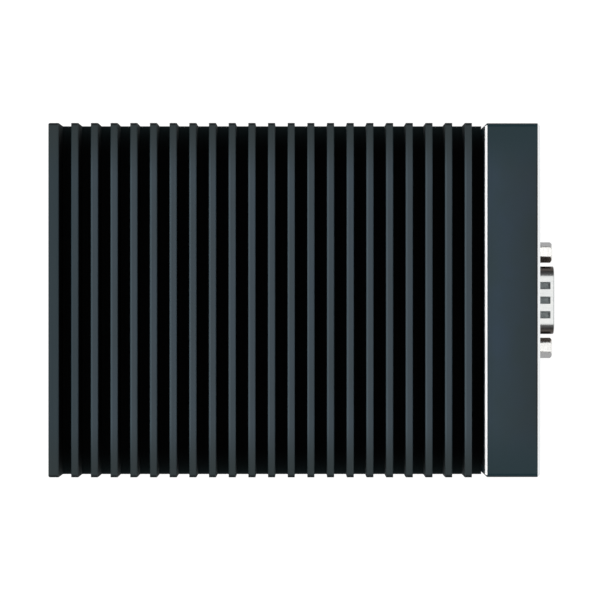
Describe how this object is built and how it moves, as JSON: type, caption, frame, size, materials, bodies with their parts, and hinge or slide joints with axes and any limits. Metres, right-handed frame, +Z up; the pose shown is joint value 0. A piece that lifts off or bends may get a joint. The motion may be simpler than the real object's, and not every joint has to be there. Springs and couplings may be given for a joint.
{
  "type": "fanless industrial pc",
  "caption": "Small fanless computer with a finned aluminium heatsink on top, a smooth front bezel with bright-cut edges and a serial port on its front panel.",
  "frame": {"origin": "on the surface that the feet stand on, midway along the whole length and width", "axes": "+X out of the front panel, along the length; +Y across the body, along the fins; +Z up"},
  "size_m": [0.1304, 0.09, 0.042],
  "materials": {
    "black_anodised": "black anodised, satin",
    "black_painted_steel": "black powder coat, fine texture",
    "rubber": "moulded black rubber",
    "plated_steel": "tin and zinc plated",
    "black_screw": "black zinc plated",
    "nickel": "bright nickel plated",
    "gold_contact": "gold plated",
    "circuit_board": "solder mask",
    "bare_aluminium": "milled",
    "thermal_pad": "soft silicone",
    "clear_plastic": "clear moulded plastic",
    "black_plastic": "moulded black plastic"
  },
  "bodies": {
    "housing": {"antenna_plug_1": "black_plastic", "antenna_plug_2": "black_plastic", "board_parts": "black_plastic", "bottom_cover": "black_painted_steel", "cover_screw_1": "black_screw", "cover_screw_2": "black_screw", "cover_screw_3": "black_screw", "cover_screw_4": "black_screw", "foot_1": "rubber", "foot_2": "rubber", "foot_3": "rubber", "foot_4": "rubber", "front_bezel": "black_anodised", "heatsink_housing": "black_anodised", "io_panel": "black_painted_steel", "light_pipe_1": "clear_plastic", "light_pipe_2": "clear_plastic", "lower_standoff_1": "plated_steel", "lower_standoff_2": "plated_steel", "lower_standoff_3": "plated_steel", "lower_standoff_4": "plated_steel", "mainboard": "circuit_board", "memory_module": "circuit_board", "memory_socket": "black_plastic", "mount_nut_1": "plated_steel", "mount_nut_2": "plated_steel", "mount_nut_3": "plated_steel", "mount_nut_4": "plated_steel", "network_jack_1": "plated_steel", "network_jack_2": "plated_steel", "panel_nut_1": "plated_steel", "panel_nut_2": "plated_steel", "panel_screw_1": "black_screw", "panel_screw_2": "black_screw", "panel_screw_3": "black_screw", "panel_screw_4": "black_screw", "power_inlet": "black_plastic", "power_inlet_pin": "nickel", "power_switch": "black_plastic", "processor": "black_plastic", "screwlock_1": "nickel", "screwlock_2": "nickel", "serial_insulator": "black_plastic", "serial_pins": "gold_contact", "serial_shell": "nickel", "storage_module": "circuit_board", "thermal_block": "bare_aluminium", "thermal_pad": "thermal_pad", "upper_standoff_1": "plated_steel", "upper_standoff_2": "plated_steel", "upper_standoff_3": "plated_steel", "upper_standoff_4": "plated_steel", "usb_shell_1": "plated_steel", "usb_shell_2": "plated_steel", "usb_tongue_1": "black_plastic", "usb_tongue_2": "black_plastic", "video_shell": "plated_steel", "video_tongue": "black_plastic"},
    "button": {"power_button": "black_plastic"}
  },
  "joints": [
    {"name": "button_press", "type": "slide", "parent": "housing", "child": "button", "axis": [-1, 0, 0], "range_m": [0, 0.0005], "stiffness_N_per_m": 3000, "springref_m": -0.0002}
  ]
}
